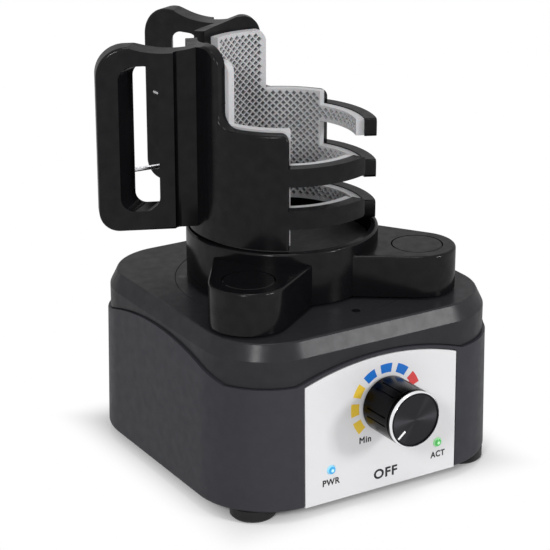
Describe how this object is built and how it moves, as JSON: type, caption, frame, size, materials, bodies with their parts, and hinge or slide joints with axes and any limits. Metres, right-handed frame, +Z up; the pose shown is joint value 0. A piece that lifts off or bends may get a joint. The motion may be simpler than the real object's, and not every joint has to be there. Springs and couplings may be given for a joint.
{
  "type": "nail polish shaker machine",
  "caption": "Desktop bottle shaker: square motor base with a control knob and an orbiting lobed head whose sprung two-handled clamp grips a bottle.",
  "frame": {"origin": "centre of the base on the table, under the motor shaft", "axes": "+Z up along the motor shaft, -Y out of the control panel, +X to the right of someone who faces the panel"},
  "size_m": [0.115, 0.1298, 0.1403],
  "materials": {
    "casing": "satin moulded charcoal",
    "lid": "satin moulded charcoal",
    "cover": "moulded black",
    "panel": "printed satin light grey",
    "foot": "matt black rubber",
    "head": "satin moulded black",
    "jaw": "satin moulded black",
    "liner": "soft light grey with a diamond pattern",
    "pad": "matt black rubber",
    "spring_steel": "bright spring wire",
    "pin_steel": "ground steel",
    "screw_steel": "zinc plated",
    "motor_steel": "plated steel can",
    "bracket_steel": "zinc plated sheet",
    "motor_cap": "moulded black",
    "hub": "turned",
    "weight": "zinc plated",
    "bearing": "ground bearing steel",
    "bush": "sintered bronze",
    "board": "green laminate",
    "pot": "moulded black with a metal front",
    "nut": "nickel plated",
    "inlet": "moulded black",
    "knob_black": "black anodised",
    "knob_bright": "diamond cut",
    "knob_face": "spun black anodised",
    "pointer": "white fill",
    "lamp_blue": "lit cyan lens",
    "lamp_green": "lit green lens"
  },
  "bodies": {
    "base": {"lower_casing": "casing", "upper_casing": "lid", "bottom_cover": "cover", "control_panel": "panel", "rubber_foot_rear_right": "foot", "rubber_foot_rear_left": "foot", "rubber_foot_front_left": "foot", "rubber_foot_front_right": "foot", "casing_screws": "screw_steel", "drive_plate": "head", "plate_screws": "screw_steel", "motor_bracket": "bracket_steel", "bracket_screws": "screw_steel", "motor_can": "motor_steel", "motor_end_cap": "motor_cap", "motor_screws": "screw_steel", "potentiometer": "pot", "potentiometer_nut": "nut", "control_board": "board", "board_screws": "screw_steel", "led_power": "lamp_blue", "led_active": "lamp_green", "dc_inlet": "inlet", "dc_inlet_nut": "nut", "pivot_bush_left": "bush", "pivot_bush_front": "bush", "pivot_bush_right": "bush"},
    "crank": {"motor_shaft": "pin_steel", "eccentric_hub": "hub", "hub_set_screw": "screw_steel", "counterweight": "weight"},
    "head": {"orbit_cup": "head", "main_bearing": "bearing", "lobe_bush_left": "bush", "lobe_bush_front": "bush", "lobe_bush_right": "bush", "lobe_cap_left": "head", "lobe_cap_front": "head", "lobe_cap_right": "head", "cup_floor_pad": "pad", "hinge_pin": "pin_steel", "hinge_pin_clip": "screw_steel", "torsion_spring": "spring_steel"},
    "idler_left": {"idler_crank_left": "hub"},
    "idler_front": {"idler_crank_front": "hub"},
    "idler_right": {"idler_crank_right": "hub"},
    "near_clamp": {"near_jaw": "jaw", "near_grip_pad": "liner"},
    "far_clamp": {"far_jaw": "jaw", "far_grip_pad": "liner"},
    "knob": {"knob_body": "knob_black", "knob_chamfer_ring": "knob_bright", "knob_face": "knob_face", "knob_pointer": "pointer", "potentiometer_shaft": "pin_steel"}
  },
  "joints": [
    {"name": "motor_spin", "type": "hinge", "parent": "base", "child": "crank", "pos_m": [0, 0, 0.055], "axis": [0, 0, 1], "continuous": true},
    {"name": "head_orbit", "type": "hinge", "parent": "crank", "child": "head", "pos_m": [-0.00328, 0.00229, 0.064], "axis": [0, 0, 1], "continuous": true},
    {"name": "idler_left_spin", "type": "hinge", "parent": "base", "child": "idler_left", "pos_m": [-0.03147, -0.03147, 0.06], "axis": [0, 0, 1], "continuous": true},
    {"name": "idler_front_spin", "type": "hinge", "parent": "base", "child": "idler_front", "pos_m": [0.03147, -0.03147, 0.06], "axis": [0, 0, 1], "continuous": true},
    {"name": "idler_right_spin", "type": "hinge", "parent": "base", "child": "idler_right", "pos_m": [0.03147, 0.03147, 0.06], "axis": [0, 0, 1], "continuous": true},
    {"name": "near_jaw_swing", "type": "hinge", "parent": "head", "child": "near_clamp", "pos_m": [-0.02308, 0.02209, 0.105], "axis": [0, 0, -1], "range_deg": [-9, 14], "stiffness_Nm_per_rad": 0.25, "deforming": ["torsion_spring"]},
    {"name": "far_jaw_swing", "type": "hinge", "parent": "head", "child": "far_clamp", "pos_m": [-0.02308, 0.02209, 0.105], "axis": [0, 0, 1], "range_deg": [-9, 14]},
    {"name": "knob_turn", "type": "hinge", "parent": "base", "child": "knob", "pos_m": [0.00155, -0.05198, 0.03286], "axis": [0, 0.9998, -0.018], "range_deg": [0, 280]}
  ],
  "couplings": [
    {"joint": "head_orbit", "follows": "motor_spin", "ratio": -1},
    {"joint": "idler_left_spin", "follows": "motor_spin", "ratio": 1},
    {"joint": "idler_front_spin", "follows": "motor_spin", "ratio": 1},
    {"joint": "idler_right_spin", "follows": "motor_spin", "ratio": 1},
    {"joint": "far_jaw_swing", "follows": "near_jaw_swing", "ratio": 1}
  ]
}
